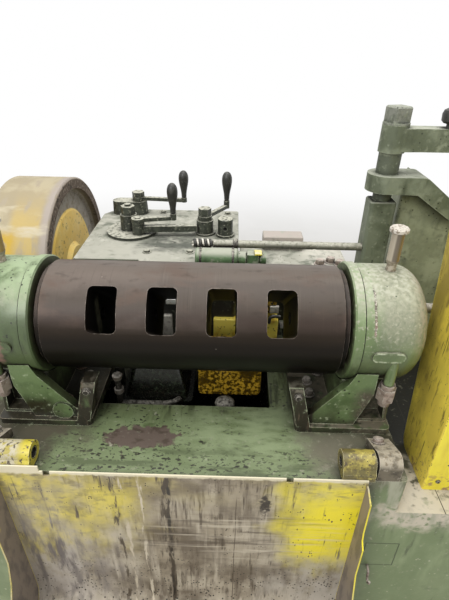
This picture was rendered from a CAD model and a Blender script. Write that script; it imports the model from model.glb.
import math

import bmesh
import bpy
from mathutils import Matrix, Vector


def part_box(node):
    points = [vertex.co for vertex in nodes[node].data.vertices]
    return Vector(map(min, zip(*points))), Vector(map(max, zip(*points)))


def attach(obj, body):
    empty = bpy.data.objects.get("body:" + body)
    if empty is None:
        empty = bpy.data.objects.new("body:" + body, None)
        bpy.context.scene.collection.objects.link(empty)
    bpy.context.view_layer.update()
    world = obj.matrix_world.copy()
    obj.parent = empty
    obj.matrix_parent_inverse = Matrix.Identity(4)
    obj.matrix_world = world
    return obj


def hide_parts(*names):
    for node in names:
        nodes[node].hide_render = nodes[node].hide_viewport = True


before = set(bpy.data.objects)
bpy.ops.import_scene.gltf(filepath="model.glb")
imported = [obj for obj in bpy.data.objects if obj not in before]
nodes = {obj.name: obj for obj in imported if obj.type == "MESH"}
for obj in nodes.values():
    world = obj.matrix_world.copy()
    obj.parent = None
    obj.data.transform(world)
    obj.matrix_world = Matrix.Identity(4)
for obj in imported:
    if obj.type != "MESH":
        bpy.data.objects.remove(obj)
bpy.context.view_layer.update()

# places taken from the frame, in metres
drum_low, drum_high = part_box("arbor_drum")
bed_low, bed_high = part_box("bed_frame")
wheel_low, wheel_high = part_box("flywheel")
cylinder_low, cylinder_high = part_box("air_cylinder")
rod_low, rod_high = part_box("guide_rod")
arm_low, arm_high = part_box("upper_arm")
table_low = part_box("rear_table")[0]
column_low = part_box("column")[0]
case_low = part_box("pit_gearcase")[0]
plate_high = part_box("feed_top_plate")[1]
sheet_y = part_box("guard_sheet")[1].y
cutoff_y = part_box("cutoff_guard")[0].y
pedestal_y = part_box("right_pedestal")[0].y
shaft_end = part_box("flywheel_shaft")[0].x
cup_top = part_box("right_oil_cup")[1].z
post_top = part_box("pivot_post")[1].z
deck_z = bed_high.z
axis_z = (drum_low.z + drum_high.z) / 2
wheel_y = (wheel_low.y + wheel_high.y) / 2
wheel_z = (wheel_low.z + wheel_high.z) / 2

# places inside the nodes, in metres, as their solids have them
foot_top = deck_z + 0.016
bed_wall_y = bed_low.y + 0.056
pit_low, pit_high = (-0.234, -0.057, 0.5), (0.180, 0.178, deck_z - 0.001)
pad_centre, pad_half = (0.394, 0, axis_z - 0.004), 0.021
hinge_pin, pin_r = (0, -0.228, 0.830), 0.0125
nuts_z = table_low.z + 0.228

# directions, a distance past every piece, and the angle up to which faces look smooth
UP = (0, 0, 1)
FRONT = (0, -1, 0)
ALONG = (1, 0, 0)
FAR = 1e3
SMOOTH = math.radians(30)


def srgb(code):
    """Turns a hex colour into the linear values that shaders use."""
    channels = [int(code[i : i + 2], 16) / 255 for i in (1, 3, 5)]
    linear = [c / 12.92 if c <= 0.04045 else ((c + 0.055) / 1.055) ** 2.4 for c in channels]
    return (*linear, 1.0)


def add(tree, kind, inputs=None, **settings):
    """Adds a node, sets its properties, and gives each named input a value or a link."""
    made = tree.nodes.new(kind)
    for name, value in settings.items():
        setattr(made, name, value)
    for socket, value in (inputs or {}).items():
        if isinstance(value, bpy.types.NodeSocket):
            tree.links.new(value, made.inputs[socket])
        else:
            made.inputs[socket].default_value = value
    return made


class Finish:
    """A material in the making: colour, roughness, metallic and height, laid on in layers."""

    def __init__(self, name, colour, roughness, metallic=0.0):
        self.material = bpy.data.materials.new(name)
        self.material.use_nodes = True
        self.tree = self.material.node_tree
        self.tree.nodes.clear()
        coordinates = add(self.tree, "ShaderNodeTexCoord")
        self.place = coordinates.outputs["Object"]
        self.normal = coordinates.outputs["Normal"]
        self.colour = srgb(colour)
        self.roughness = roughness
        self.metallic = metallic
        self.height = None

    def spread(self, size_mm, stretch, shift):
        """The place counted in lengths of size_mm, which are longer along a stretch above 1."""
        scale = tuple(1000 / size_mm / s for s in stretch)
        moving = {"Vector": self.place, "Scale": scale, "Location": (shift,) * 3}
        return add(self.tree, "ShaderNodeMapping", moving).outputs[0]

    def noise(self, size_mm, detail=4.0, stretch=(1, 1, 1), shift=0.0):
        """Cloud noise around 0.5 with features about size_mm wide."""
        grain = {"Vector": self.spread(size_mm, stretch, shift), "Scale": 1.0}
        grain.update({"Detail": detail, "Roughness": 0.55})
        return add(self.tree, "ShaderNodeTexNoise", grain).outputs["Fac"]

    def above(self, value, low, high):
        """0 below low, 1 above high, smooth between; the other way round if low is the larger."""
        span = {"Value": value, "From Min": low, "From Max": high}
        return add(self.tree, "ShaderNodeMapRange", span, interpolation_type="SMOOTHSTEP").outputs[0]

    def cloud(self, size_mm, low, high, detail=4.0, stretch=(1, 1, 1), shift=0.0):
        """Patches of cloud noise: 0 where the noise is below low, 1 where it is above high."""
        return self.above(self.noise(size_mm, detail, stretch, shift), low, high)

    def axis(self, letter, vector=None):
        """One coordinate of the place, or of another vector."""
        return add(self.tree, "ShaderNodeSeparateXYZ", {0: vector or self.place}).outputs["XYZ".index(letter)]

    def past(self, letter, low, high, size_mm=0, sway=0.0):
        """0 before low along an axis, 1 beyond high; the border wanders by sway over size_mm."""
        along = self.axis(letter)
        if sway:
            along = self.wander(along, size_mm, sway)
        return self.above(along, low, high)

    def facing(self, letter, low, high):
        """1 where the surface faces along that axis."""
        return self.above(self.axis(letter, self.normal), low, high)

    def upward(self, low=0.3, high=0.9):
        """1 where the surface faces up."""
        return self.facing("Z", low, high)

    def facing_either(self, letter, low, high):
        """1 where the surface faces along that axis, forwards or backwards."""
        share = add(self.tree, "ShaderNodeMath", {0: self.axis(letter, self.normal)}, operation="ABSOLUTE")
        return self.above(share.outputs[0], low, high)

    def upright(self):
        """1 where the surface stands upright."""
        return self.facing_either("Z", 0.7, 0.3)

    def both(self, *masks):
        """Only where every one of the masks is; a plain number thins them out."""
        shared = masks[0]
        for mask in masks[1:]:
            shared = add(self.tree, "ShaderNodeMath", {0: shared, 1: mask}, operation="MULTIPLY").outputs[0]
        return shared

    def unless(self, mask):
        """Everywhere that the mask isn't."""
        return add(self.tree, "ShaderNodeMath", {0: 1.0, 1: mask}, operation="SUBTRACT").outputs[0]

    def wander(self, value, size_mm, reach, shift=0.0):
        """The value pushed to and fro by cloud noise, by as much as reach."""
        sway = {0: self.noise(size_mm, shift=shift), 1: 2 * reach, 2: value}
        moved = add(self.tree, "ShaderNodeMath", sway, operation="MULTIPLY_ADD")
        moved = {0: moved.outputs[0], 1: reach}
        return add(self.tree, "ShaderNodeMath", moved, operation="SUBTRACT").outputs[0]

    def line(self, letter, place, half_mm, size_mm=60, sway_mm=0.0, shift=0.0):
        """1 along a thin line across one axis, at the place given, wandering by sway_mm."""
        swayed = self.wander(self.axis(letter), size_mm, sway_mm / 1000, shift)
        offset = add(self.tree, "ShaderNodeMath", {0: swayed, 1: place}, operation="SUBTRACT")
        away = add(self.tree, "ShaderNodeMath", {0: offset.outputs[0]}, operation="ABSOLUTE")
        return self.above(away.outputs[0], half_mm / 1000, half_mm / 3000)

    def apart(self, centre):
        """How far the place is from the centre along each axis, without sign."""
        offset = {0: self.place, 1: centre}
        offset = add(self.tree, "ShaderNodeVectorMath", offset, operation="SUBTRACT").outputs[0]
        return add(self.tree, "ShaderNodeVectorMath", {0: offset}, operation="ABSOLUTE").outputs[0]

    def beyond(self, centre, halves):
        """How far the place lies outside a box along each axis, below 0 inside it."""
        over = {0: self.apart(centre), 1: halves}
        return add(self.tree, "ShaderNodeVectorMath", over, operation="SUBTRACT").outputs[0]

    def reach(self, centre, spans):
        """Distance from the centre, which is 1 on the ellipsoid that has spans as its half axes."""
        shares = {0: self.apart(centre), 1: tuple(1 / span for span in spans)}
        shares = add(self.tree, "ShaderNodeVectorMath", shares, operation="MULTIPLY").outputs[0]
        length = add(self.tree, "ShaderNodeVectorMath", {0: shares}, operation="LENGTH")
        return length.outputs["Value"]

    def blotch(self, centre, spans, ragged=0.35, size_mm=30, soft=0.25):
        """1 inside an ellipsoid with a ragged rim, 0 outside it."""
        rim = self.wander(self.reach(centre, spans), size_mm, 2 * ragged)
        return self.above(rim, 1 + soft, 1 - soft)

    def inside(self, low, high, soft_mm=2.0):
        """1 inside a box, fading over soft_mm at its faces."""
        centre = tuple((a + b) / 2 for a, b in zip(low, high))
        over = self.beyond(centre, tuple(abs(b - a) / 2 for a, b in zip(low, high)))
        soft = soft_mm / 1000
        return self.both(*(self.above(self.axis(letter, over), soft, -soft) for letter in "XYZ"))

    def from_slot(self, centre, half_length):
        """Distance from a line of that half length along X, seen from the front."""
        over = {0: self.beyond(centre, (half_length, FAR, 0)), 1: (0, 0, 0)}
        over = add(self.tree, "ShaderNodeVectorMath", over, operation="MAXIMUM").outputs[0]
        length = add(self.tree, "ShaderNodeVectorMath", {0: over}, operation="LENGTH")
        return length.outputs["Value"]

    def edges(self, width_mm, size_mm=12, chipped=0.5):
        """1 along sharp edges, broken up by noise."""
        geometry = add(self.tree, "ShaderNodeNewGeometry")
        rounded = add(self.tree, "ShaderNodeBevel", {"Radius": width_mm / 1000}, samples=4)
        pair = {0: rounded.outputs[0], 1: geometry.outputs["Normal"]}
        same = add(self.tree, "ShaderNodeVectorMath", pair, operation="DOT_PRODUCT").outputs["Value"]
        return self.above(self.wander(self.unless(same), size_mm, chipped / 2), 0.04, 0.16)

    def hollows(self, reach_mm, low=0.35, high=0.9):
        """1 deep in corners and under overhangs, where dirt gathers."""
        distance = {"Distance": reach_mm / 1000}
        open_share = add(self.tree, "ShaderNodeAmbientOcclusion", distance, samples=6)
        return self.above(open_share.outputs["AO"], high, low)

    def specks(self, spacing_mm, share, size=0.3, stretch=(1, 1, 1), shift=0.0):
        """Scattered spots, one to a cell of spacing_mm in the given share of the cells."""
        grid = {"Vector": self.spread(spacing_mm, stretch, shift), "Scale": 1.0}
        cells = add(self.tree, "ShaderNodeTexVoronoi", grid)
        picked = add(self.tree, "ShaderNodeSeparateColor", {0: cells.outputs["Color"]}).outputs[0]
        near = self.above(self.wander(cells.outputs["Distance"], spacing_mm / 3, size / 3), size, size * 0.6)
        return self.both(near, self.above(picked, 1 - share, 1.001 - share))

    def lay(self, colour, *masks, rough=None, metal=None):
        """Lays a colour, and its own roughness and metallic, where all the masks are."""
        mask = self.both(*masks)
        layers = {0: mask, 6: self.colour, 7: srgb(colour)}
        self.colour = add(self.tree, "ShaderNodeMix", layers, data_type="RGBA").outputs[2]
        for quality, value in (("roughness", rough), ("metallic", metal)):
            if value is not None:
                layers = {0: mask, 2: getattr(self, quality), 3: value}
                mixed = add(self.tree, "ShaderNodeMix", layers, data_type="FLOAT").outputs[0]
                setattr(self, quality, mixed)

    def raise_by(self, mask, height_mm):
        """Adds relief of height_mm where the mask is 1, or sinks it where height_mm is below 0."""
        under = 0.0 if self.height is None else self.height
        relief = {0: mask, 1: height_mm / 1000, 2: under}
        self.height = add(self.tree, "ShaderNodeMath", relief, operation="MULTIPLY_ADD").outputs[0]

    def done(self, coat=0.0, specular=0.5):
        """Closes the material with its shader and its relief."""
        skin = {"Base Color": self.colour, "Roughness": self.roughness, "Metallic": self.metallic}
        skin.update({"Coat Weight": coat, "Coat Roughness": 0.2, "Specular IOR Level": specular})
        shader = add(self.tree, "ShaderNodeBsdfPrincipled", skin)
        if self.height is not None:
            bump = add(self.tree, "ShaderNodeBump", {"Height": self.height, "Distance": 1.0})
            self.tree.links.new(bump.outputs[0], shader.inputs["Normal"])
        add(self.tree, "ShaderNodeOutputMaterial", {"Surface": shader.outputs[0]})
        return self.material


# on the deck: black oil near the pit, grit in front, a scraped patch and brown muck at the brackets
def soil_deck(f):
    deck = f.both(f.upward(), f.past("Z", deck_z - 0.01, deck_z - 0.005))
    front = f.both(deck, f.past("Y", -0.10, -0.22, 60, 0.04))
    near_pit = f.both(deck, f.past("Y", -0.12, -0.05, 80, 0.05))
    f.lay("#69724f", near_pit, 0.7, rough=0.4)
    f.lay("#6a7653", front, 0.7)
    f.lay("#444a32", near_pit, f.cloud(15, 0.5, 0.62, 6, (1, 7, 1), 12), rough=0.35)
    f.lay("#2f3024", deck, f.past("Y", 0.10, 0.17), rough=0.6)
    f.lay("#35352a", f.cloud(8, 0.57, 0.60, 3, (1.7, 1, 1), 13), front, rough=0.35)
    f.lay("#2f2f25", f.cloud(6, 0.62, 0.66, 2, (1.8, 1, 1), 19), deck, rough=0.35)
    f.lay("#2c2b24", f.specks(15, 0.35, 0.22, (1.8, 1, 1), 4), deck, rough=0.35)
    f.lay("#545e40", f.cloud(26, 0.52, 0.64, 6, (5, 1, 1), 23), front, rough=0.45)
    worn = f.both(deck, f.blotch((0.15, -0.13, deck_z), (0.16, 0.07, 0.03), 0.4, 50, 0.5))
    f.lay("#87946f", worn, f.cloud(20, 0.3, 0.6, 6, (3, 1, 1), 27), rough=0.5)
    bare = f.blotch((-0.118, -0.155, deck_z), (0.072, 0.033, 0.03), 0.6, 26, 0.12)
    f.lay("#5d5148", bare, rough=0.45)
    f.lay("#4c4238", bare, f.cloud(16, 0.5, 0.62, 5, (2, 1, 1)), rough=0.4)
    f.lay("#6a6656", f.blotch((0.375, -0.165, deck_z), (0.13, 0.10, 0.04), 0.35, 50, 0.35), rough=0.85)
    f.lay("#3b3729", f.blotch((0.43, -0.12, deck_z), (0.05, 0.10, 0.04), 0.3, 30, 0.35), rough=0.6)
    f.lay("#4d4737", f.blotch((-0.47, -0.15, deck_z), (0.21, 0.09, 0.04), 0.35, 50, 0.3), rough=0.7)
    f.lay("#a09a88", deck, f.cloud(26, 0.56, 0.7, 6, shift=9), f.past("X", 0.2, 0.42), rough=0.9)
    f.lay("#3a3d2b", f.hollows(70), f.cloud(30, 0.25, 0.5), rough=0.5)


# on the ledge right of the deck: caked dust, soaked black under the cut-off guard
def dust_ledge(f):
    ledge = f.both(f.upward(), f.past("Z", deck_z - 0.01, deck_z - 0.02))
    f.lay("#b9b1a0", ledge, f.cloud(60, 0.25, 0.5, 5, shift=1), rough=0.95)
    f.lay("#8a8475", ledge, f.cloud(22, 0.52, 0.66, 6, shift=4), rough=0.9)
    oiled = f.both(ledge, f.past("X", 0.484, 0.492, 30, 0.008))
    oiled = f.both(oiled, f.past("Y", -0.225, -0.19, 30, 0.02))
    f.lay("#4c4a3a", oiled, rough=0.6)
    f.lay("#16140e", ledge, f.past("Y", -0.13, -0.06, 40, 0.02), rough=0.5)
    dusty_lip = f.blotch((0.50, bed_wall_y, 0.695), (0.10, 0.12, 0.05), 0.35, 30, 0.3)
    f.lay("#c5bcaa", dusty_lip, f.cloud(18, 0.35, 0.5, 5), rough=0.95)
    f.lay("#2d2a20", f.line("X", 0.542, 1.4), ledge)


# on the front wall: dusty runs under the ledge, and the groove round a flush panel
def mark_front_wall(f):
    front_wall = f.facing("Y", -0.6, -0.9)
    streak = f.cloud(22, 0.42, 0.62, 7, (1, 1, 5), 17)
    f.lay("#a3a38e", front_wall, f.past("Z", 0.62, 0.71, 40, 0.05), streak, rough=0.8)
    panel_low, panel_high = Vector((0.393, -0.3, 0.500)), Vector((0.470, -0.2, 0.588))
    groove_width = Vector((0.0025, 0, 0.0025))
    middle = f.inside(panel_low + groove_width, panel_high - groove_width, 0.8)
    groove = f.both(f.inside(panel_low, panel_high, 0.8), f.unless(middle), front_wall)
    f.lay("#49543a", groove, rough=0.6)
    return groove


# machine enamel on the bed: brushed olive sage, oil soaked, gritty in front, scraped bare in places
def bed_enamel():
    f = Finish("bed_enamel", "#7c8963", 0.5)
    f.lay("#66744f", f.cloud(140, 0.42, 0.62, 6))
    f.lay("#8f9c78", f.cloud(60, 0.5, 0.74, 6, shift=3))
    f.lay("#55633f", f.cloud(26, 0.58, 0.72, 6, (2, 1, 1), 5), rough=0.4)
    wall = f.upright()
    f.lay("#6f7f57", wall, f.cloud(190, 0.3, 0.7, 7, (1, 1, 2), 5))
    f.lay("#8b9873", wall, f.cloud(45, 0.5, 0.76, 7, (1, 1, 3), 8), rough=0.7)
    f.lay("#4f5b3c", wall, f.cloud(30, 0.62, 0.74, 6, (1, 1, 5), 11), rough=0.45)
    f.lay("#a8ab92", wall, f.cloud(14, 0.64, 0.72, 5, shift=2), rough=0.8)
    soil_deck(f)
    pit = f.inside(pit_low, pit_high, 1)
    f.lay("#0b0d08", pit, f.past("Z", deck_z + 0.01, deck_z - 0.03), rough=0.25)
    dust_ledge(f)
    groove = mark_front_wall(f)
    f.lay("#3e3a2c", wall, f.past("Z", 0.16, 0.03), f.cloud(50, 0.3, 0.55, 5), rough=0.7)
    f.lay("#a3a28c", f.edges(3), f.cloud(40, 0.45, 0.55, shift=2), rough=0.7)
    f.raise_by(f.noise(7, 5), 0.5)
    f.raise_by(groove, -0.8)
    return f.done(coat=0.08)


# enamel on the pedestals: the same olive sage, with black oil run into the pockets
def pedestal_enamel():
    f = Finish("pedestal_enamel", "#63774c", 0.48)
    f.lay("#4f623b", f.cloud(50, 0.45, 0.65, 5))
    f.lay("#7d8f66", f.cloud(22, 0.56, 0.72, 5, shift=2))
    f.lay("#3b3d28", f.cloud(60, 0.36, 0.54, 6, shift=6), f.hollows(120), rough=0.4)
    side = f.axis("X")
    high = f.axis("Z")
    inner = f.both(f.above(side, -0.268, -0.262), f.above(side, 0.268, 0.262))
    f.lay("#2b261c", inner, f.cloud(30, 0.2, 0.45, 5, (1, 1, 2), 4), rough=0.4)
    f.lay("#57493a", inner, f.cloud(9, 0.56, 0.66, 4, (1, 1, 4), 7), rough=0.6)
    f.lay("#6f6a5c", inner, f.above(high, 0.905, 0.925), f.cloud(14, 0.45, 0.6, 4, shift=5), rough=0.6)
    oily_left = f.both(f.above(side, -0.30, -0.33), f.above(high, 0.88, 0.85))
    f.lay("#2c2a19", oily_left, f.cloud(26, 0.3, 0.52, 5, (1, 1, 3), 3), rough=0.35)
    f.lay("#1c1a12", f.hollows(60), rough=0.4)
    dusty_side = f.both(f.facing("Y", -0.5, -0.8), f.above(side, 0.335, 0.372), f.above(high, 0.93, 0.90))
    f.lay("#4b4737", dusty_side, f.cloud(20, 0.28, 0.5, 5), rough=0.7)
    f.lay("#6c6455", dusty_side, f.cloud(5, 0.54, 0.64, 4, shift=6), rough=0.8)
    flat = f.both(f.upward(0.2, 0.8), f.above(high, foot_top + 0.01, foot_top + 0.004))
    f.lay("#5f594a", flat, f.cloud(18, 0.35, 0.55, 5), rough=0.85)
    f.lay("#2e2b1f", flat, f.above(side, -0.2, -0.25), f.cloud(30, 0.15, 0.4, 5, shift=22), rough=0.4)
    f.lay("#9d937f", f.edges(2.5, 9, 0.4), f.above(high, foot_top + 0.01, foot_top + 0.004), rough=0.8)
    f.lay("#1f1e15", f.specks(13, 0.35, 0.22), rough=0.4)
    f.lay("#b9c3a2", f.edges(3), f.cloud(30, 0.42, 0.55, shift=1), f.facing("Y", 0.1, -0.2), rough=0.6)
    f.raise_by(f.noise(6, 4), 0.6)
    return f.done(coat=0.1)


# the coats that both bearing housings share: pale green, dust settled on the outer dome
def housing_enamel(name, side, paint="#66784e", pale="#7f9168"):
    f = Finish(name, paint, 0.4)
    f.lay(pale, f.cloud(46, 0.5, 0.7, 5))
    f.lay("#556741", f.cloud(70, 0.5, 0.68, 4, shift=3))
    out = add(f.tree, "ShaderNodeMath", {0: f.axis("X"), 1: side}, operation="MULTIPLY").outputs[0]
    f.lay("#8b9a76", f.upward(0.3, 0.9), f.cloud(40, 0.2, 0.5, 4, shift=6), rough=0.4)
    dome = f.both(f.above(f.wander(out, 30, 0.012), 0.352, 0.392), f.past("Z", 1.00, 1.10, 40, 0.02))
    f.lay("#858874", dome, f.cloud(60, 0.12, 0.36, 5, shift=4), rough=0.85)
    f.lay("#6c745e", dome, f.cloud(9, 0.5, 0.7, 6), rough=0.9)
    f.lay("#969683", dome, f.cloud(6, 0.44, 0.7, 6, shift=9), rough=0.9)
    f.lay("#9a9c87", f.upward(0.45, 0.9), f.cloud(12, 0.35, 0.65, 6, shift=7), rough=0.9)
    f.lay("#5e6d48", f.facing("Z", 0.1, -0.4), f.cloud(24, 0.3, 0.6, 6, shift=12), rough=0.6)
    f.lay("#39452a", f.facing("Z", 0.1, -0.6), f.cloud(40, 0.15, 0.45, 4), rough=0.35)
    return f


# enamel on the right housing: a rubbed mark on the dome, a pale rim round the raised pad, oil runs
def right_housing_enamel():
    f = housing_enamel("right_housing_enamel", 1)
    mark = f.both(f.line("X", 0.361, 3.6, 12, 2.0), f.past("Z", 1.055, 1.065), f.past("Z", 1.140, 1.130))
    mark = f.both(mark, f.facing("Y", -0.05, -0.25))
    f.lay("#5b5347", mark, rough=0.55)
    f.lay("#8a7468", mark, f.past("Z", 1.10, 1.08), f.cloud(5, 0.42, 0.52, 4), rough=0.6)
    f.lay("#c3bcae", mark, f.cloud(4, 0.55, 0.62, 4, shift=4), rough=0.6)
    f.lay("#b0b09e", f.upward(0.55, 0.95), f.cloud(9, 0.4, 0.66, 6, shift=14), rough=0.9)
    dusty_end = f.both(f.facing("X", 0.15, 0.7), f.past("Z", 0.98, 1.06))
    f.lay("#a39b8a", dusty_end, f.cloud(10, 0.36, 0.64, 6, shift=3), rough=0.9)
    from_pad = f.wander(f.from_slot(pad_centre, pad_half), 9, 0.0012)
    front = f.facing("Y", -0.1, -0.3)
    pad_foot = f.both(f.above(from_pad, 0.0115, 0.0130), f.above(from_pad, 0.0175, 0.0140), front)
    f.lay("#55603f", pad_foot, f.past("Z", axis_z + 0.004, axis_z - 0.004), rough=0.6)
    pad_rim = f.both(f.above(from_pad, 0.0075, 0.0095), f.above(from_pad, 0.0135, 0.0120), front)
    f.lay("#a5ae91", pad_rim, f.cloud(9, 0.4, 0.62, 5, shift=5), rough=0.6)
    upper_rim = f.both(pad_rim, f.past("Z", axis_z + 0.001, axis_z + 0.004))
    f.lay("#c3cbb0", upper_rim, f.cloud(12, 0.4, 0.6, 4, shift=8), rough=0.6)
    f.lay("#9fa08c", f.cloud(7, 0.55, 0.68, 6, shift=24), f.facing("Z", -0.2, 0.4), rough=0.9)
    f.lay("#3e4533", f.specks(15, 0.2, 0.14))
    run = f.both(f.facing("Y", -0.1, -0.4), f.cloud(11, 0.54, 0.68, 5, (1, 1, 9), 2))
    f.lay("#55683f", run, f.past("Z", 1.04, 0.98), rough=0.5)
    f.lay("#2f2c20", f.hollows(30), f.cloud(20, 0.3, 0.5), rough=0.4)
    f.raise_by(f.noise(5, 4), 0.4)
    return f.done(coat=0.15)


# enamel on the left housing: darker and oilier, with a rusty bruise in front
def left_housing_enamel():
    f = housing_enamel("left_housing_enamel", -1, "#4f5e3c", "#66764f")
    f.lay("#4f5f3c", f.cloud(90, 0.36, 0.6, 5, shift=21))
    f.lay("#90a07c", f.upward(0.6, 0.97), f.cloud(30, 0.25, 0.6, 6, shift=16), rough=0.6)
    f.lay("#3f4a2e", f.facing("Z", 0.62, 0.3), f.cloud(36, 0.16, 0.56, 6, (1, 1, 2), 26), rough=0.5)
    f.lay("#4a5a36", f.past("Z", 1.10, 1.0), f.cloud(70, 0.2, 0.4, 4, shift=1), rough=0.45)
    f.lay("#374228", f.past("Z", 1.10, 1.0), f.cloud(24, 0.5, 0.66, 5, (1, 1, 3), 6), rough=0.4)
    f.lay("#7d6156", f.blotch((-0.402, -0.10, 1.03), (0.02, 0.06, 0.06), 0.5, 18, 0.3), rough=0.6)
    f.lay("#464b36", f.specks(9, 0.45, 0.3), f.cloud(60, 0.42, 0.56, shift=5), rough=0.6)
    f.lay("#272c1e", f.specks(13, 0.4, 0.2))
    f.lay("#2f2c20", f.hollows(30), f.cloud(20, 0.3, 0.5), rough=0.4)
    f.raise_by(f.noise(5, 4), 0.5)
    return f.done(coat=0.15)


# turned and blackened steel of the drum: a warm oil film, darker underneath, bright slot edges
def drum_steel():
    f = Finish("blackened_turned_steel", "#5f564e", 0.46, 0.1)
    tone = f.wander(f.axis("Z", f.normal), 120, 0.03)
    f.lay("#4b433c", f.above(tone, 0.98, 0.90))
    f.lay("#3a302a", f.above(tone, 0.74, 0.46), rough=0.42)
    f.lay("#231b12", f.above(tone, 0.46, 0.24), rough=0.40)
    f.lay("#120c05", f.above(tone, 0.24, 0.02), rough=0.38)
    f.lay("#080602", f.above(tone, 0.0, -0.25), rough=0.38)
    lit = f.above(tone, 0.1, 0.7)
    f.lay("#6c6159", f.cloud(150, 0.46, 0.7, 5, (1.6, 1, 1)), lit, 0.6)
    f.lay("#5b4a40", f.cloud(46, 0.5, 0.7, 6, (2, 1, 1), 9), lit, 0.6)
    f.lay("#2f2720", f.cloud(20, 0.55, 0.75, 6, (2, 1, 1), 1), lit, 0.5)
    f.lay("#7b6f66", f.cloud(3.0, 0.56, 0.9, 3, (1, 40, 40), 7), lit, 0.25)
    f.lay("#1f1914", f.cloud(2.4, 0.56, 0.9, 2, (1, 50, 50), 3), 0.3)
    f.lay("#a49a90", f.specks(26, 0.25, 0.05), f.above(tone, -0.1, 0.1))
    f.lay("#221b15", f.specks(18, 0.2, 0.07, shift=5), f.above(tone, -0.3, 0.1))
    f.lay("#90857b", f.edges(1.8, 8, 0.2), f.cloud(14, 0.36, 0.56), rough=0.35)
    f.lay("#050403", f.hollows(80, 0.3, 0.82), rough=0.6)
    rubbed = f.both(f.facing("X", 0.6, 0.9), f.inside((-0.220, -0.040, 0.99), (-0.200, -0.012, 1.075), 8))
    f.lay("#77775f", rubbed, f.cloud(12, 0.3, 0.6, 5, (1, 1, 3)), rough=0.5)
    f.raise_by(f.noise(2.0, 2, (1, 60, 60)), 0.06)
    f.raise_by(f.noise(24, 4), 0.25)
    return f.done(specular=0.2)


# where the yellow is left on the guard: a faded patch on the left, a bright one on the right
def keep_yellow(f):
    left = f.blotch((-0.33, sheet_y, 0.72), (0.17, 0.5, 0.14), 0.6, 120, 0.9)
    f.lay("#c4b455", left, f.cloud(40, 0.26, 0.6, 7, (1, 1, 1.4), 4), rough=0.5)
    f.lay("#dccb50", left, f.cloud(70, 0.36, 0.6, 7, shift=17), rough=0.45)
    f.lay("#948851", left, f.cloud(14, 0.48, 0.68, 7, (1.5, 1, 1), 27), rough=0.45)
    right = f.blotch((0.335, sheet_y, 0.67), (0.125, 0.5, 0.15), 0.35, 90, 0.55)
    f.lay("#d9cc3f", right, f.cloud(40, 0.08, 0.36, 6, (1, 1, 1.4), 4), rough=0.45)
    f.lay("#eedd28", right, f.cloud(60, 0.22, 0.5, 6, shift=17), rough=0.42)


# on the guard: dark runs and drops of oil, and pale dried coolant low down
def spatter_guard(f, high):
    f.lay("#4e4334", f.cloud(11, 0.56, 0.66, 6, (1, 1, 14), 4), f.cloud(80, 0.42, 0.58, shift=1), rough=0.4)
    f.lay("#463b2d", f.specks(9, 0.5, 0.26, (1, 1, 1.8)), f.cloud(50, 0.54, 0.62, 5, shift=8), rough=0.4)
    drops = f.specks(5, 0.45, 0.34, (1, 1, 1.4), 11)
    f.lay("#352d21", drops, f.cloud(30, 0.54, 0.62, 5, shift=18), rough=0.4)
    pale = f.blotch((-0.32, sheet_y, 0.50), (0.12, 0.5, 0.17), 0.6, 90, 0.9)
    f.lay("#b5ada3", pale, f.cloud(50, 0.3, 0.6, 7, (1, 1, 2), 35), rough=0.6)
    f.lay("#6e6764", f.cloud(18, 0.46, 0.66, 7, (1, 1, 5), 33), pale, rough=0.5)
    pale = f.blotch((0.30, sheet_y, 0.43), (0.10, 0.5, 0.10), 0.6, 80, 0.9)
    f.lay("#b9b2a6", pale, f.cloud(40, 0.3, 0.6, 7, (1, 1, 2), 37), rough=0.6)
    drops = f.both(f.specks(7, 0.6, 0.36, (1, 1, 1.3), 5), f.above(high, 0.56, 0.42))
    f.lay("#201b14", drops, f.cloud(35, 0.42, 0.54), rough=0.35)


# on the guard: a wet drip in the middle, upright scrapes and a band of cross scuffs
def scratch_guard(f, high):
    drip = f.both(f.line("X", -0.043, 5.5, 70, 9, 2), f.cloud(14, 0.34, 0.44, 6, (1, 1, 3)))
    f.lay("#221c14", drip, rough=0.3)
    f.lay("#40362a", f.line("X", -0.046, 17, 50, 12, 2), f.cloud(9, 0.46, 0.58, 6, (1, 1, 5)), rough=0.4)
    f.lay("#4b4032", f.line("X", -0.155, 8, 60, 14, 5), f.cloud(9, 0.46, 0.56, 6, (1, 1, 6), 3), rough=0.4)
    f.lay("#c4b9a3", f.line("X", -0.135, 7, 60, 14, 8), f.cloud(8, 0.46, 0.56, 6, (1, 1, 7), 6), rough=0.5)
    f.lay("#c9bea9", f.line("X", -0.10, 5, 60, 10, 12), f.cloud(8, 0.48, 0.58, 6, (1, 1, 7), 9), rough=0.5)
    f.lay("#4b4033", f.line("X", 0.099, 1.3, 60, 2), f.above(high, 0.76, 0.72), rough=0.5)
    f.lay("#2c241b", f.blotch((0.158, sheet_y, 0.727), (0.010, 0.5, 0.028), 0.9, 9, 0.5), rough=0.35)
    scuffed = f.above(f.reach((0.11, sheet_y, 0.61), (0.24, 0.5, 0.09)), 1.25, 0.5)
    f.lay("#d0c6b2", f.cloud(9, 0.5, 0.72, 7, (26, 1, 1.5), 1), scuffed, rough=0.5)
    f.lay("#4a3f33", f.cloud(16, 0.5, 0.7, 7, (9, 1, 1), 6), scuffed, 0.8, rough=0.45)


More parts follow.
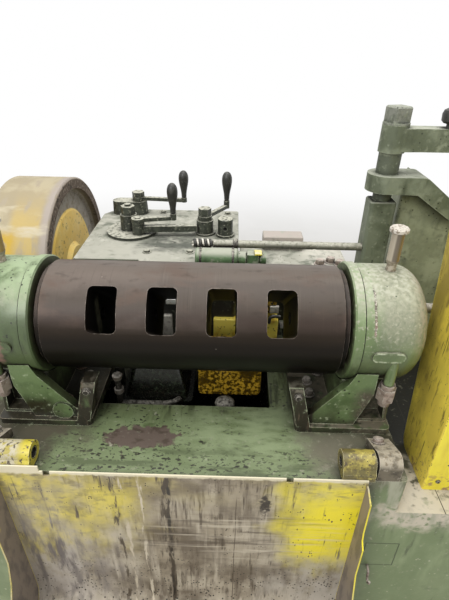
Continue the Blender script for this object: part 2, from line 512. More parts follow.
# sheet steel of the guard: safety yellow worn to grey, wet grime, drips and scratches
def guard_enamel():
    f = Finish("guard_enamel", "#9b907c", 0.55)
    high = f.axis("Z")
    f.lay("#b8ae9b", f.cloud(130, 0.36, 0.64, 7, (1, 1, 1.8)))
    f.lay("#6f6454", f.cloud(80, 0.42, 0.66, 7, (1.6, 1, 1), 2))
    f.lay("#655a4c", f.cloud(26, 0.46, 0.7, 7, (1, 1, 6), 21), 0.9)
    f.lay("#c0b6a3", f.cloud(16, 0.54, 0.8, 7, (1, 1, 12), 14), rough=0.6)
    f.lay("#5b5042", f.cloud(8, 0.5, 0.68, 7, (1, 1, 9), 31), f.cloud(60, 0.4, 0.6, shift=7))
    keep_yellow(f)
    upper = f.above(high, 0.70, 0.80)
    f.lay("#aea278", upper, f.cloud(70, 0.44, 0.7, 7, (2.5, 1, 1), 6), rough=0.5)
    f.lay("#6f6450", upper, f.cloud(12, 0.52, 0.72, 7, (3, 1, 1), 16), 0.8)
    back = f.facing("Y", 0.3, 0.7)
    f.lay("#c9b84a", back, rough=0.5)
    f.lay("#a2967e", back, f.cloud(90, 0.48, 0.64, 6, (1, 1, 2), 12), rough=0.7)
    spatter_guard(f, high)
    scratch_guard(f, high)
    flange = f.facing_either("X", 0.6, 0.8)
    f.lay("#857a6e", flange, rough=0.7)
    f.lay("#6b625a", flange, f.cloud(24, 0.45, 0.62, 6, (1, 1, 2)), rough=0.6)
    lip = f.both(f.upward(0.7, 0.95), f.above(high, 0.78, 0.80))
    f.lay("#b3aa8e", lip, rough=0.6)
    f.lay("#b7a95a", lip, f.cloud(13, 0.48, 0.6, 6, (2, 1, 1), 19), rough=0.6)
    f.lay("#7a6d52", lip, f.cloud(7, 0.58, 0.66, 5, (3, 1, 1), 29), rough=0.6)
    f.lay("#ddcd45", f.edges(2.2, 9, 0.25), f.above(high, 0.80, 0.79), rough=0.45)
    border = f.past("Z", deck_z + 0.003, deck_z + 0.009, 14, 0.006)
    f.lay("#d9d0b4", border, f.facing("Y", 0.5, 0.0), rough=0.5)
    f.raise_by(f.noise(5, 6, (1, 1, 3)), 0.4)
    f.raise_by(f.noise(60, 4, (1, 1, 2), shift=3), 1.2)
    return f.done(coat=0.12)


# the yellow of the lugs, brushed over rough cast ends
def lug_enamel():
    f = Finish("lug_enamel", "#9c8f45", 0.5)
    f.lay("#6d6134", f.cloud(18, 0.4, 0.58, 5))
    f.lay("#b9ad5b", f.cloud(10, 0.55, 0.66, 5, shift=12))
    across = f.axis("X")
    f.lay("#b5ad93", f.above(across, -0.325, -0.345), f.upward(-0.3, 0.4), rough=0.7)
    f.lay("#a39646", f.above(across, -0.325, -0.345), f.cloud(16, 0.5, 0.6, 4, shift=7), rough=0.6)
    f.lay("#c2b33c", f.above(across, -0.345, -0.325), f.above(across, 0, -0.1), rough=0.45)
    f.lay("#4d4331", f.cloud(9, 0.55, 0.64, 5, shift=3), rough=0.6)
    right = f.above(across, 0.1, 0.2)
    f.lay("#a89d62", right, f.cloud(5, 0.58, 0.64, 4, shift=8), f.facing("Z", 0.2, -0.4), rough=0.7)
    f.lay("#5f5730", right, f.cloud(22, 0.44, 0.6, 5, shift=15), rough=0.5)
    f.lay("#2c261b", f.specks(6, 0.35, 0.26), rough=0.45)
    pin = f.reach(hinge_pin, (FAR, pin_r, pin_r))
    f.lay("#14110c", f.above(pin, 1.12, 1.02), rough=0.6)
    f.lay("#110e0a", f.hollows(14))
    f.lay("#ddd6ac", f.edges(1.5, 8, 0.3), rough=0.6)
    f.raise_by(f.noise(5, 4), 0.5)
    return f.done(coat=0.1)


# sheet steel of the cut-off guard: bright safety yellow, oil mist and rust low down
def cutoff_enamel():
    f = Finish("cutoff_guard_enamel", "#ead838", 0.38)
    f.lay("#f5e640", f.cloud(160, 0.4, 0.65, 4))
    f.lay("#d8c133", f.cloud(70, 0.52, 0.75, 5, (1, 1, 3), 2))
    left = f.facing("X", -0.4, -0.7)
    f.lay("#f3dc55", left, rough=0.45)
    f.lay("#e0c850", left, f.cloud(70, 0.4, 0.6, 6, (1, 1, 2)), rough=0.5)
    shade = f.both(left, f.past("Y", -0.17, -0.04, 60, 0.03))
    f.lay("#98873a", shade, f.cloud(50, 0.2, 0.6, 5, (1, 1, 2), 4), rough=0.5)
    f.lay("#8f7d38", left, f.cloud(14, 0.56, 0.7, 6, (1, 1, 4), 7), rough=0.5)
    f.lay("#2f2a17", f.specks(6, 0.6, 0.26), f.cloud(40, 0.4, 0.55, shift=3), left, rough=0.4)
    f.lay("#3a3319", f.cloud(5, 0.62, 0.7, 5, (1, 1, 12), 9), left, rough=0.4)
    f.lay("#453e20", f.specks(24, 0.3, 0.12), f.upright())
    low = f.past("Z", 0.80, 0.70)
    f.lay("#a1825a", low, f.cloud(18, 0.5, 0.64, 5), rough=0.8)
    f.lay("#c5bfa4", f.upward(), f.cloud(50, 0.35, 0.6, 5), rough=0.9)
    f.lay("#f0e67c", f.edges(2.5, 16, 0.2), rough=0.45)
    f.raise_by(f.noise(9, 3), 0.2)
    f.raise_by(f.noise(160, 3, shift=3), 1.0)
    return f.done(coat=0.15)


# clean glossy yellow of the small terminal box, a little oil on it
def terminal_enamel():
    f = Finish("terminal_box_enamel", "#ffea68", 0.4)
    f.lay("#f0cc48", f.cloud(24, 0.45, 0.65, 5))
    f.lay("#6f5d24", f.cloud(9, 0.6, 0.68, 6, shift=3))
    f.raise_by(f.noise(40, 3), 0.2)
    return f.done()


# dusty cast brackets and feet: grey with caked dust
def bracket_casting():
    f = Finish("dusty_casting", "#6f6757", 0.8)
    f.lay("#4c463a", f.cloud(24, 0.42, 0.62, 5))
    f.lay("#a59c8a", f.upward(0.0, 0.7), f.cloud(14, 0.3, 0.55, 5, shift=2), rough=0.95)
    f.lay("#7b705c", f.upward(0.0, 0.7), f.cloud(7, 0.55, 0.66, 5, shift=8), rough=0.95)
    f.lay("#25211a", f.hollows(35))
    f.lay("#bdb4a3", f.edges(2, 9, 0.5), rough=0.8)
    f.raise_by(f.noise(4, 5), 0.8)
    return f.done()


# thick dust over grey-green enamel on the feed box, its plate and the table
def dusty_enamel():
    f = Finish("dusty_grey_green_enamel", "#676d59", 0.65)
    f.lay("#4f5744", f.cloud(60, 0.42, 0.62, 5))
    drum_side = f.both(f.facing("Y", -0.5, -0.8), f.past("Z", 1.03, 0.98, 40, 0.02))
    f.lay("#1b1a13", drum_side, f.cloud(50, 0.1, 0.4, 5, (1, 1, 2), 4), rough=0.4)
    top = f.upward(0.3, 0.8)
    f.lay("#a09f92", top, f.cloud(90, 0.12, 0.42, 6, shift=2), rough=0.95)
    f.lay("#b5b3a6", top, f.cloud(26, 0.46, 0.68, 6, shift=5), rough=0.95)
    dusty_end = f.both(top, f.past("X", 0.23, 0.33, 60, 0.04))
    f.lay("#c6c2b5", dusty_end, f.cloud(30, 0.24, 0.5, 6, shift=21), rough=0.95)
    f.lay("#6f7265", top, f.cloud(44, 0.5, 0.68, 6, shift=8), rough=0.9)
    f.lay("#5b5c50", top, f.specks(8, 0.35, 0.22), rough=0.9)
    clean = f.blotch((-0.22, 0.27, plate_high.z), (0.13, 0.07, 0.03), 0.3, 40, 0.5)
    f.lay("#a8a699", clean, top, f.cloud(18, 0.2, 0.6, 6, (2, 1, 1), 23), rough=0.9)
    oil = f.blotch((-0.07, 0.335, plate_high.z), (0.12, 0.055, 0.03), 0.5, 60, 0.6)
    f.lay("#54564d", oil, top, f.cloud(30, 0.3, 0.56, 7, (2, 1, 1), 3), rough=0.7)
    f.lay("#3c3d35", oil, top, f.cloud(10, 0.5, 0.66, 6, (2, 1, 1), 13), rough=0.6)
    dusty_block = f.inside((0.160, 0.345, 1.028), (0.288, 0.405, 1.075))
    f.lay("#aba198", dusty_block, f.cloud(20, 0.2, 0.5, 6, shift=6), rough=0.9)
    f.lay("#2f3226", f.hollows(30), rough=0.7)
    f.lay("#9aa08c", f.edges(2), f.cloud(30, 0.4, 0.55), rough=0.7)
    f.raise_by(f.noise(4, 5), 0.5)
    return f.done()


# oil dark castings with pale dust on every top
def stud_casting():
    f = Finish("oil_dark_casting", "#3b3f34", 0.5)
    f.lay("#24271f", f.cloud(16, 0.42, 0.62, 5))
    f.lay("#575b4b", f.cloud(7, 0.6, 0.74, 5, shift=3))
    f.lay("#b3b1a1", f.upward(0.4, 0.8), f.cloud(9, 0.3, 0.55, 5, shift=6), rough=0.95)
    f.lay("#1a1b16", f.hollows(22))
    f.lay("#9b9a88", f.edges(1.2, 6, 0.6), rough=0.7)
    f.raise_by(f.noise(3, 4), 0.5)
    return f.done(coat=0.1)


# moulded phenolic of the grips: black, gone matt and dusty on top
def grip_plastic():
    f = Finish("black_moulded_grip", "#2b2b27", 0.42)
    f.lay("#3d3d36", f.cloud(14, 0.5, 0.7, 5), rough=0.6)
    f.lay("#64625a", f.upward(0.5, 0.95), f.cloud(6, 0.45, 0.62, 4, shift=2), rough=0.85)
    f.raise_by(f.noise(2, 3), 0.15)
    return f.done()


# cast iron of the flywheel: cream dust outside, dark rough rim, golden yellow centre
def flywheel_enamel():
    f = Finish("flywheel_enamel", "#998d72", 0.75)
    radius = f.reach((0, wheel_y, wheel_z), (FAR, 1, 1))
    tread_r, rim_r, centre_r = 0.264, 0.235, 0.178
    f.lay("#a69b80", f.cloud(70, 0.42, 0.62, 5))
    outside = f.above(radius, tread_r - 0.002, tread_r + 0.002)
    low = f.past("Z", 1.20, 1.12, 60, 0.02)
    band = f.both(f.past("X", -0.515, -0.49, 40, 0.01), f.past("X", -0.418, -0.435, 40, 0.01))
    f.lay("#b09a5f", outside, band, low, f.cloud(110, 0.2, 0.5, 6, (1, 3, 3), 3), rough=0.65)
    f.lay("#9c9288", outside, f.past("X", -0.430, -0.412, 30, 0.006), rough=0.8)
    low = f.past("Z", 1.125, 1.095, 50, 0.02)
    f.lay("#b3921d", outside, f.past("X", -0.47, -0.50, 50, 0.02), low, rough=0.5)
    f.lay("#9b907b", outside, f.cloud(30, 0.52, 0.66, 6, (1, 3, 3), 8), rough=0.85)
    f.lay("#b8ae95", outside, f.cloud(60, 0.56, 0.7, 6, (3, 1, 1), 12), rough=0.6)
    rim = f.above(radius, rim_r - 0.003, rim_r + 0.003)
    rim = f.both(rim, f.above(radius, tread_r + 0.004, tread_r - 0.002))
    f.lay("#574a3e", rim, rough=0.85)
    f.lay("#85786a", rim, f.cloud(8, 0.48, 0.64, 5), rough=0.9)
    f.lay("#2f271f", rim, f.cloud(14, 0.56, 0.66, 5, shift=6), rough=0.9)
    web = f.above(radius, rim_r + 0.001, rim_r - 0.005)
    f.lay("#a49d92", web, rough=0.8)
    f.lay("#8d8476", web, f.cloud(16, 0.48, 0.64, 6, shift=5), rough=0.85)
    centre = f.above(radius, centre_r, centre_r - 0.005)
    f.lay("#fbd56c", centre, rough=0.5)
    f.lay("#ffe08a", centre, f.cloud(60, 0.42, 0.62, 5, shift=6), rough=0.55)
    f.lay("#b5985a", centre, f.cloud(18, 0.58, 0.7, 6, shift=9), rough=0.7)
    f.lay("#5c4d38", f.specks(12, 0.2, 0.18), web)
    f.lay("#332a21", f.hollows(34))
    f.raise_by(f.noise(7, 5), 0.5)
    f.raise_by(f.both(rim, f.noise(4, 5)), 1.0)
    return f.done()


# green enamel on column, arms and head: oil darkened sides, dusty tops, all dust above dusty_from
def arm_enamel(name, paint="#6d7460", dark="#4f5643", dusty_from=FAR):
    f = Finish(name, paint, 0.6)
    f.lay(dark, f.cloud(60, 0.4, 0.62, 6))
    f.lay("#858b75", f.cloud(20, 0.54, 0.72, 6, shift=3), rough=0.7)
    f.lay("#3d4332", f.upright(), f.cloud(30, 0.5, 0.8, 7, (1, 1, 3), 5), rough=0.45)
    f.lay("#a3a595", f.upward(0.3, 0.85), f.cloud(40, 0.25, 0.55, 5, shift=6), rough=0.95)
    top = f.past("Z", dusty_from, dusty_from + 0.004)
    f.lay("#83857a", top, f.cloud(14, 0.2, 0.6, 5, shift=9), rough=0.9)
    f.lay("#2b2e22", f.hollows(50))
    f.lay("#a5ab95", f.edges(3), f.cloud(25, 0.42, 0.56), rough=0.7)
    f.lay("#282b20", f.specks(11, 0.25, 0.2))
    f.raise_by(f.noise(5, 5), 0.7)
    return f.done()


# black oil over green and yellow in the pit
def oily_enamel(name, paint, oil, share):
    f = Finish(name, paint, 0.3)
    f.lay(oil, f.cloud(9, share - 0.06, share + 0.06, 7), rough=0.22)
    f.lay(oil, f.cloud(46, 0.48, 0.66, 5, shift=4), rough=0.25)
    f.lay("#0b0a07", f.hollows(70), rough=0.22)
    f.lay("#150f06", f.cloud(4, 0.56, 0.62, 4, shift=9), rough=0.3)
    f.lay("#080705", f.past("Z", 0.77, 0.755), rough=0.25)
    f.raise_by(f.noise(26, 3), 0.5)
    return f.done(coat=0.3)


# bare steel gone dull: grey with brown bloom and dust
def dull_steel(name, paint="#8b857c", bloom="#6c5f54", dust="#b8b2a6"):
    f = Finish(name, paint, 0.45, 0.5)
    f.lay(bloom, f.cloud(12, 0.45, 0.65, 5), rough=0.65, metal=0.2)
    f.lay(dust, f.upward(0.2, 0.8), f.cloud(8, 0.35, 0.6, 5, shift=4), rough=0.9, metal=0.0)
    f.lay("#2b251f", f.hollows(14))
    f.lay("#c9c3b8", f.edges(1.2, 7, 0.5), rough=0.4, metal=0.4)
    f.raise_by(f.noise(2, 4), 0.25)
    return f.done()


# dull brass and amber glass of the drip oilers under a pale cap
def cup_brass():
    f = Finish("oil_cup_brass", "#8a7f70", 0.45, 0.3)
    high = f.axis("Z")
    cap_z = cup_top - 0.011
    foot_z = cap_z - 0.062
    glass = f.both(f.above(high, foot_z, foot_z + 0.004), f.above(high, cap_z, cap_z - 0.003))
    f.lay("#6c6356", glass, rough=0.3, metal=0.1)
    f.lay("#8d7748", glass, f.facing("X", 0.1, 0.6), rough=0.2, metal=0.0)
    f.lay("#aaa08f", glass, f.facing("X", -0.35, -0.6), rough=0.2, metal=0.0)
    cap = f.above(high, cap_z - 0.001, cap_z + 0.001)
    f.lay("#c5beb2", cap, rough=0.8, metal=0.0)
    f.lay("#857a6c", cap, f.cloud(5, 0.5, 0.62, 4), rough=0.8)
    foot = f.above(high, foot_z, foot_z - 0.004)
    f.lay("#b3aa9a", foot, f.cloud(6, 0.4, 0.6, 4), rough=0.7, metal=0.2)
    f.raise_by(f.noise(2, 4), 0.3)
    return f.done()


finishes = {
    "bed": bed_enamel(),
    "pedestal": pedestal_enamel(),
    "right_housing": right_housing_enamel(),
    "left_housing": left_housing_enamel(),
    "drum": drum_steel(),
    "guard": guard_enamel(),
    "lug": lug_enamel(),
    "cutoff": cutoff_enamel(),
    "bracket": bracket_casting(),
    "dusty": dusty_enamel(),
    "stud": stud_casting(),
    "grip": grip_plastic(),
    "wheel": flywheel_enamel(),
    "arm": arm_enamel("arm_enamel", "#7b826c", "#5c634e"),
    "column": arm_enamel("column_enamel"),
    "post": arm_enamel("post_enamel", "#565c4b", "#434a3a", post_top - 0.040),
    "head": arm_enamel("head_enamel", "#a9af94", "#8f957c"),
    "pit_green": oily_enamel("oily_green_casting", "#2b3324", "#0f110b", 0.45),
    "pit_yellow": oily_enamel("oily_yellow_casting", "#b8932a", "#46360f", 0.50),
    "steel": dull_steel("dull_steel"),
    "rusty": dull_steel("rusty_steel", "#8a6a55", "#5c4030", "#a58f7d"),
    "plug": dull_steel("pinkish_plug_steel", "#a3958a", "#7d6c61", "#c4b8ad"),
    "dark": dull_steel("dark_steel", "#3d3a34", "#2a2620", "#8d897e"),
    "chalk": dull_steel("chalky_zinc_plate", "#f4f2ec", "#d8d4ca", "#ffffff"),
    "cream": dull_steel("zinc_plate", "#c9c4b8", "#a29b8e", "#d9d5c9"),
    "terminal": terminal_enamel(),
    "rod": dull_steel("grey_green_rod", "#8a897b", "#6a695c", "#adab9d"),
    "cylinder": arm_enamel("cylinder_enamel", "#557049", "#425a38"),
    "cup": cup_brass(),
}

worn_by = {
    "bed": "bed_frame",
    "pedestal": "left_pedestal right_pedestal",
    "left_housing": "left_bearing_housing",
    "right_housing": "right_bearing_housing",
    "drum": "arbor_drum",
    "cup": "left_oil_cup right_oil_cup",
    "plug": "left_drain_plug right_drain_plug",
    "steel": "left_oil_nipple right_oil_nipple flywheel_shaft",
    "pit_green": "pit_gearcase",
    "pit_yellow": "pit_yellow_block",
    "dark": "pit_button",
    "guard": "guard_sheet",
    "lug": "left_guard_lug right_guard_lug",
    "bracket": "left_hinge_bracket right_hinge_bracket",
    "dusty": "feed_box feed_top_plate rear_table",
    "stud": "front_left_stud front_right_stud rear_stud_block link_bar "
    "clevis_post front_lever rear_lever right_lever",
    "grip": "front_lever_grip rear_lever_grip right_lever_grip",
    "cylinder": "air_cylinder",
    "rod": "guide_rod",
    "column": "column",
    "post": "pivot_post",
    "arm": "lower_arm upper_arm",
    "head": "head_casting",
    "cutoff": "cutoff_guard",
    "wheel": "flywheel",
}
for finish_name, node_names in worn_by.items():
    for node_name in node_names.split():
        mesh = nodes[node_name].data
        mesh.materials.clear()
        mesh.materials.append(finishes[finish_name])


def stand(name, data):
    """Puts an object of that mesh, curve, lamp or camera into the scene."""
    made = bpy.data.objects.new(name, data)
    bpy.context.scene.collection.objects.link(made)
    return made


def place(name, mesh, finish=None, body="base"):
    """Makes a piece of the mesh, smooth up to SMOOTH between faces, that rides on a body."""
    made = stand(name, mesh)
    if finish:
        mesh.materials.clear()
        mesh.materials.append(finishes[finish])
    mesh.shade_smooth()
    mesh.set_sharp_from_angle(angle=SMOOTH)
    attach(made, body)
    return made


def place_shape(name, shape, finish):
    """Turns a finished shape into a mesh and places it."""
    mesh = bpy.data.meshes.new(name)
    shape.to_mesh(mesh)
    shape.free()
    return place(name, mesh, finish)


def grown(holder):
    """The plain mesh that a curve or a modifier gives; the object that held it is removed."""
    graph = bpy.context.evaluated_depsgraph_get()
    mesh = bpy.data.meshes.new_from_object(holder.evaluated_get(graph))
    bpy.data.objects.remove(holder)
    return mesh


def turned(name, outline, centre, along, finish):
    """A piece turned on a lathe: outline lists (distance along the axis, radius), from centre."""
    steps = 48
    shape = bmesh.new()
    turn = Vector(UP).rotation_difference(Vector(along)).to_matrix().to_4x4()
    seat = Matrix.Translation(centre) @ turn
    rings = []
    for distance, radius in outline:
        ring = []
        for i in range(steps):
            angle = 2 * math.pi * i / steps
            spot = Vector((radius * math.cos(angle), radius * math.sin(angle), distance))
            ring.append(shape.verts.new(seat @ spot))
        rings.append(ring)
    for low, high in zip(rings, rings[1:]):
        for i in range(steps):
            shape.faces.new((low[i], low[(i + 1) % steps], high[(i + 1) % steps], high[i]))
    shape.faces.new(reversed(rings[0]))
    shape.faces.new(rings[-1])
    return place_shape(name, shape, finish)


def block(name, low, high, round_mm, finish):
    """A box with rounded edges between two corners."""
    shape = bmesh.new()
    size = Vector(high) - Vector(low)
    seat = Matrix.Translation((Vector(low) + Vector(high)) / 2) @ Matrix.Diagonal((*size, 1))
    bmesh.ops.create_cube(shape, size=1, matrix=seat)
    rounding = {"offset": round_mm / 1000, "segments": 3, "profile": 0.6}
    bmesh.ops.bevel(shape, geom=shape.edges[:], affect="EDGES", **rounding)
    return place_shape(name, shape, finish)


def tube(name, points, radius, finish):
    """A round bar or pipe along a path."""
    curve = bpy.data.curves.new(name, "CURVE")
    curve.dimensions = "3D"
    curve.bevel_depth = radius
    curve.bevel_resolution = 4
    curve.use_fill_caps = True
    path = curve.splines.new("NURBS")
    path.points.add(len(points) - 1)
    for point, spot in zip(path.points, points):
        point.co = (*spot, 1)
    path.order_u = 3
    path.use_endpoint_u = True
    path.resolution_u = 6
    return place(name, grown(stand(name + "_path", curve)), finish)


def bolt_group():
    """Geometry Nodes that set a chamfered head on a washer at each point, along the point's vector."""
    group = bpy.data.node_groups.new("bolts_at_points", "GeometryNodeTree")
    group.interface.new_socket("Points", in_out="INPUT", socket_type="NodeSocketGeometry")
    sizes = {"Head radius": 0.01, "Head height": 0.008, "Washer radius": 0.013, "Washer height": 0.002}
    for label, value in sizes.items():
        group.interface.new_socket(label, in_out="INPUT", socket_type="NodeSocketFloat").default_value = value
    group.interface.new_socket("Sides", in_out="INPUT", socket_type="NodeSocketInt").default_value = 6
    group.interface.new_socket("Finish", in_out="INPUT", socket_type="NodeSocketMaterial")
    group.interface.new_socket("Bolts", in_out="OUTPUT", socket_type="NodeSocketGeometry")
    given = add(group, "NodeGroupInput").outputs
    washer = {"Vertices": 32, "Radius": given["Washer radius"], "Depth": given["Washer height"]}
    washer = add(group, "GeometryNodeMeshCylinder", washer).outputs["Mesh"]
    body = {"Vertices": given["Sides"], "Radius": given["Head radius"], "Depth": given["Head height"]}
    body = add(group, "GeometryNodeMeshCylinder", body).outputs["Mesh"]
    shares = []
    for label, share in (("Head height", 0.5), ("Head radius", 0.82), ("Head height", 0.16)):
        size = {0: given[label], 1: share}
        shares.append(add(group, "ShaderNodeMath", size, operation="MULTIPLY").outputs[0])
    half, crown_r, crown_h = shares
    up = add(group, "ShaderNodeCombineXYZ", {"Z": half}).outputs[0]
    body = add(group, "GeometryNodeTransform", {"Geometry": body, "Translation": up}).outputs[0]
    crown = {"Vertices": 24, "Radius Bottom": crown_r, "Radius Top": crown_r, "Depth": crown_h}
    crown = add(group, "GeometryNodeMeshCone", crown).outputs["Mesh"]
    top = add(group, "ShaderNodeCombineXYZ", {"Z": given["Head height"]}).outputs[0]
    crown = add(group, "GeometryNodeTransform", {"Geometry": crown, "Translation": top}).outputs[0]
    joined = add(group, "GeometryNodeJoinGeometry")
    for piece in (washer, body, crown):
        group.links.new(piece, joined.inputs[0])
    facing = add(group, "GeometryNodeInputNamedAttribute", {"Name": "facing"}, data_type="FLOAT_VECTOR")
    turn = add(group, "FunctionNodeAlignRotationToVector", {"Vector": facing.outputs[0]}, axis="Z")
    copies = {"Points": given["Points"], "Instance": joined.outputs[0], "Rotation": turn.outputs[0]}
    copies = add(group, "GeometryNodeInstanceOnPoints", copies).outputs[0]
    real = add(group, "GeometryNodeRealizeInstances", {"Geometry": copies}).outputs[0]
    dressed = {"Geometry": real, "Material": given["Finish"]}
    dressed = add(group, "GeometryNodeSetMaterial", dressed).outputs[0]
    add(group, "NodeGroupOutput", {"Bolts": dressed})
    return group


bolts_at_points = bolt_group()


def bolts(name, spots, facing, head_r, head_h, finish, washer=1.35, sides=6, body="base"):
    """Bolt heads at the spots, all facing one way; washer is its radius as a share of the head's."""
    points = bpy.data.meshes.new(name)
    points.from_pydata([tuple(spot) for spot in spots], [], [])
    ways = points.attributes.new("facing", "FLOAT_VECTOR", "POINT")
    for way in ways.data:
        way.vector = facing
    holder = stand(name + "_points", points)
    growth = holder.modifiers.new("bolts", "NODES")
    growth.node_group = bolts_at_points
    values = {
        "Head radius": head_r,
        "Head height": head_h,
        "Washer radius": head_r * washer,
        "Washer height": 0.003,
        "Sides": sides,
        "Finish": finishes[finish],
    }
    for item in bolts_at_points.interface.items_tree:
        if item.in_out == "INPUT" and item.name in values:
            growth[item.identifier] = values[item.name]
    return place(name, grown(holder), body=body)


# fasteners that the photograph shows on the deck, the plate, the brackets and the column
def fit_bolts():
    bolt_x, bolt_y = 0.305, 0.062
    stud_x, stud_y = 0.272, 0.022
    nut_x, nut_z = 0.226, deck_z + 0.105
    for side, name, finish in ((-1, "left", "rusty"), (1, "right", "steel")):
        spots = [(side * bolt_x, y, foot_top) for y in (-bolt_y, bolt_y)]
        bolts(name + "_foot_bolts", spots, UP, 0.012, 0.009, finish)
        spots = [(side * stud_x, y, foot_top) for y in (-stud_y, stud_y)]
        bolts(name + "_foot_studs", spots, UP, 0.010, 0.012, "steel")
        spots = [(side * nut_x, pedestal_y, nut_z)]
        bolts(name + "_post_nut", spots, FRONT, 0.007, 0.006, "dark")
    spots = [(-0.155, 0.268, plate_high.z), (-0.038, 0.273, plate_high.z)]
    spots += [(x, plate_high.y - 0.03, plate_high.z) for x in (-0.155, 0.06)]
    bolts("plate_screws", spots, UP, 0.009, 0.006, "stud")
    bracket_slope = (0, 0.43, 0.90)
    for name, x, finish in (("right", 0.394, "plug"), ("left", -0.415, "steel")):
        spots = [(x, -0.179, deck_z + 0.0315)]
        bolts(name + "_bracket_bolt", spots, bracket_slope, 0.011, 0.009, finish, washer=1.2, sides=24)
    spots = [(x, column_low.y + 0.009, deck_z + 0.018) for x in (0.42, 0.46)]
    bolts("column_foot_bolts", spots, UP, 0.006, 0.006, "steel", washer=1.2)
    spots = [(0.318, 0.264, nuts_z), (0.349, 0.278, nuts_z), (0.372, 0.262, nuts_z)]
    bolts("table_nuts", spots, UP, 0.012, 0.012, "plug", washer=1.3)
    spots = [(x, cutoff_y, 0.729) for x in (0.54, 0.73, 0.92)]
    bolts("cutoff_guard_screws", spots, FRONT, 0.004, 0.003, "dark", washer=1.3)
    hub = [(shaft_end + 0.006, wheel_y, wheel_z)]
    bolts("flywheel_hub_nut", hub, (-1, 0, 0), 0.022, 0.004, "steel", washer=1.2, body="wheel")


# the shiny feed pipe that runs down into the pit and along the casting's flange
def fit_pit_pipe():
    x = case_low.x + 0.004
    y = case_low.y - 0.010
    run_z = deck_z - 0.034
    points = [(x, y, height) for height in (deck_z + 0.046, deck_z, deck_z - 0.026, run_z)]
    points += [(x + along, y, run_z) for along in (0.012, 0.06, 0.135)]
    points.append((x + 0.145, y + 0.02, run_z))
    tube("pit_feed_pipe", points, 0.0075, "dark")
    collar = [(0, 0.0105), (0.001, 0.0115), (0.013, 0.0115), (0.014, 0.0105)]
    turned("pit_pipe_collar", collar, (x, y, deck_z + 0.002), UP, "steel")
    cap = [(0, 0.010), (0.006, 0.012), (0.012, 0.012), (0.015, 0.008)]
    turned("pit_pipe_cap", cap, (x, y, deck_z + 0.044), UP, "steel")


# the long rod with its clamp and the twisted spring wound on its free end
def fit_guide_rod():
    y = (rod_low.y + rod_high.y) / 2
    z = plate_high.z + 0.050
    rod = [(0.0, 0.005), (0.001, 0.0065), (0.052, 0.0065), (0.053, 0.0088), (0.055, 0.010), (0.31, 0.010)]
    rod += [(0.312, 0.0092), (0.318, 0.0092), (0.320, 0.010), (rod_high.x - rod_low.x, 0.010)]
    stem = turned("guide_rod_bar", rod, (rod_low.x, y, z), ALONG, "rod")
    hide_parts("guide_rod")
    collar = [(0, 0.012), (0.002, 0.014), (0.010, 0.014), (0.012, 0.012)]
    turned("guide_rod_clamp", collar, (0.080, y, z), ALONG, "dark")
    block("guide_rod_stand", (0.081, y - 0.007, plate_high.z), (0.091, y + 0.007, z), 1.2, "dark")
    turns, steps = 3.5, 56
    coil_r, coil_length = 0.0095, 0.048
    for start, name, finish in ((0, "dark", "grip"), (math.pi, "pale", "cream")):
        points = []
        for i in range(steps + 1):
            angle = start + 2 * math.pi * turns * i / steps
            x = rod_low.x + 0.003 + coil_length * i / steps
            points.append((x, y + coil_r * math.cos(angle), z + coil_r * math.sin(angle)))
        tube("rod_spring_" + name, points, 0.0030, finish)


# tag and fittings of the small air cylinder
def fit_cylinder():
    z = plate_high.z + 0.026
    low = (cylinder_high.x - 0.030, cylinder_low.y + 0.002, z + 0.0175)
    high = (cylinder_high.x - 0.012, cylinder_low.y + 0.028, z + 0.0215)
    block("cylinder_tag", low, high, 0.8, "cutoff")
    ring = [(0, 0.0245), (0.001, 0.0255), (0.005, 0.0255), (0.006, 0.0245)]
    for number, x in enumerate((cylinder_low.x + 0.010, cylinder_low.x + 0.092)):
        turned(f"cylinder_band_{number + 1}", ring, (x, cylinder_low.y + 0.024, z), ALONG, "dark")


# round grip screw on the upper arm
def fit_arm_knob():
    seat = (0.560, (arm_low.y + arm_high.y) / 2 - 0.004, arm_high.z - 0.0065)
    outline = [(0, 0.009), (0.009, 0.009), (0.011, 0.017), (0.016, 0.022), (0.030, 0.023)]
    outline += [(0.038, 0.020), (0.043, 0.011)]
    turned("arm_knob", outline, seat, UP, "grip")


# what shows through the drum's slots: terminal box, valve, hose and fitting low on the front of the
# table, and gauge, rail and two thin pipes on the front of the feed box
def fit_slot_view():
    face = table_low.y + 0.006
    box_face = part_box("feed_box")[0].y
    block("table_terminal_box", (0.030, face - 0.045, deck_z + 0.010), (0.212, face, 0.880), 6, "terminal")
    block("table_valve_body", (0.172, face - 0.040, 0.900), (0.204, face, 0.952), 5, "pit_yellow")
    block("table_valve_plate", (0.186, face - 0.046, 0.904), (0.210, face - 0.036, 0.926), 2, "cream")
    bends = ((0.186, 0.050, 0.876), (0.184, 0.052, 0.892), (0.196, 0.052, 0.902), (0.214, 0.050, 0.896))
    tube("table_hose", [(x, face - off, z) for x, off, z in bends], 0.005, "grip")
    block("table_fitting", (0.070, face - 0.030, 0.925), (0.098, face, 0.937), 2, "cream")
    low, high = (-0.118, box_face - 0.014, deck_z + 0.012), (-0.086, box_face + 0.002, 0.888)
    block("feed_box_gauge", low, high, 4, "cream")
    block("feed_box_rail", (-0.100, box_face - 0.018, 0.928), (-0.072, box_face + 0.002, 0.944), 2, "chalk")
    for number, (x, reach) in enumerate(((-0.129, 0.010), (-0.139, 0.008))):
        y = box_face - reach
        pipe = [(x, y, deck_z), (x, y, 0.860), (x, y, 0.966), (x, box_face + 0.004, 0.972)]
        tube(f"feed_box_pipe_{number + 1}", pipe, 0.0032, "plug")


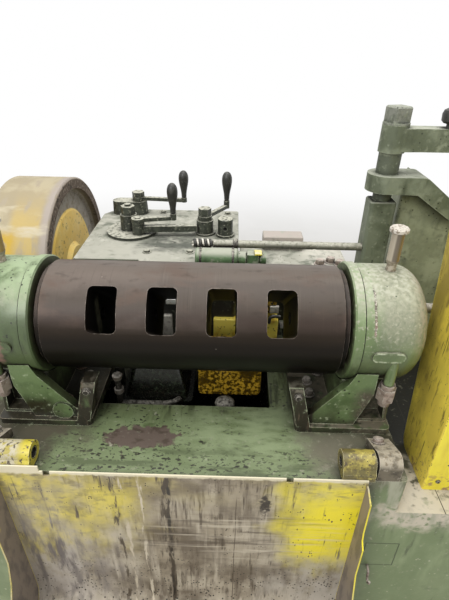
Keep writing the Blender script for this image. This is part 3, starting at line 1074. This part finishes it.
# small pale hook on the front wall of the bed
def fit_wall_hook():
    x, z = 0.412, 0.500
    # how far the wire stands off the wall and below its root
    bends = [(0, 0), (0.012, 0), (0.016, 0.010), (0.016, 0.022), (0.024, 0.030)]
    bends += [(0.032, 0.022), (0.032, 0.014)]
    tube("wall_hook", [(x, bed_wall_y - off, z - down) for off, down in bends], 0.0028, "plug")


fit_bolts()
fit_pit_pipe()
fit_guide_rod()
fit_cylinder()
fit_arm_knob()
fit_slot_view()
fit_wall_hook()


# floor, light and camera
def seen_directly(tree):
    """1 for the camera and for what is seen in gloss or through glass, 0 for the light itself."""
    path = add(tree, "ShaderNodeLightPath").outputs
    seen = path["Is Camera Ray"]
    for ray in ("Is Glossy Ray", "Is Transmission Ray"):
        seen = add(tree, "ShaderNodeMath", {0: seen, 1: path[ray]}, operation="MAXIMUM").outputs[0]
    return seen


def stage_floor():
    """A pale floor that keeps the object's shadow and fades to white in the distance."""
    half = 40.0
    mesh = bpy.data.meshes.new("floor")
    corners = [(-half, -half, 0), (half, -half, 0), (half, half, 0), (-half, half, 0)]
    mesh.from_pydata(corners, [], [(0, 1, 2, 3)])
    floor = stand("floor", mesh)
    # sealed concrete: pale and half matt, faintly clouded
    concrete = Finish("sealed_concrete", "#d8d5ce", 0.7)
    concrete.lay("#d0cdc5", concrete.cloud(600, 0.4, 0.6, 4))
    material = concrete.done()
    tree = material.node_tree
    shader = next(node for node in tree.nodes if node.type == "BSDF_PRINCIPLED")
    output = next(node for node in tree.nodes if node.type == "OUTPUT_MATERIAL")
    fade_from, fade_to = 1.2, 4.5
    away = concrete.above(concrete.reach((0.2, 0.2, 0), (1, 1, 1)), fade_from, fade_to)
    white = add(tree, "ShaderNodeEmission", {"Color": (1, 1, 1, 1), "Strength": 1.0})
    mixed = {0: concrete.both(away, seen_directly(tree)), 1: shader.outputs[0], 2: white.outputs[0]}
    tree.links.new(add(tree, "ShaderNodeMixShader", mixed).outputs[0], output.inputs["Surface"])
    mesh.materials.append(material)


def studio_light():
    """Soft light from all round, a large lamp above as under a factory roof, white to the camera."""
    world = bpy.data.worlds.new("studio")
    bpy.context.scene.world = world
    world.use_nodes = True
    tree = world.node_tree
    tree.nodes.clear()
    lighting, shown = 0.52, 1.0
    strength = {0: seen_directly(tree), 2: lighting, 3: shown}
    strength = add(tree, "ShaderNodeMix", strength, data_type="FLOAT").outputs[0]
    background = add(tree, "ShaderNodeBackground", {"Color": (1, 1, 1, 1), "Strength": strength})
    add(tree, "ShaderNodeOutputWorld", {"Surface": background.outputs[0]})
    target = Vector((0.1, 0.1, 0.9))
    lamps = (("roof_light", (0.2, 0.1, 4.0), 2.6, 100), ("front_light", (-1.6, -2.8, 3.2), 1.6, 80))
    for name, spot, size, power in lamps:
        lamp = bpy.data.lights.new(name, "AREA")
        lamp.energy = power
        lamp.size = size
        holder = stand(name, lamp)
        holder.location = spot
        holder.rotation_euler = (target - Vector(spot)).to_track_quat("-Z", "Y").to_euler()


def photo_camera():
    """A phone held at 1.56 m, tipped down and turned a little, as the photograph was taken."""
    spot = (0.0765, -0.827, 1.557)
    pitch, turn, roll = (math.radians(angle) for angle in (30.83, 0.902, 0.953))
    forward = Vector((-math.sin(turn) * math.cos(pitch), math.cos(turn) * math.cos(pitch), -math.sin(pitch)))
    level = Vector((math.cos(turn), math.sin(turn), 0))
    above = level.cross(forward)
    right = level * math.cos(roll) + above * math.sin(roll)
    up = above * math.cos(roll) - level * math.sin(roll)
    data = bpy.data.cameras.new("camera")
    data.sensor_width = 36
    data.lens = 26.4
    camera = stand("camera", data)
    axes = Matrix((right, up, -forward)).transposed().to_4x4()
    camera.matrix_world = Matrix.Translation(spot) @ axes
    bpy.context.scene.camera = camera


stage_floor()
studio_light()
photo_camera()
bpy.context.scene.view_settings.view_transform = "Standard"
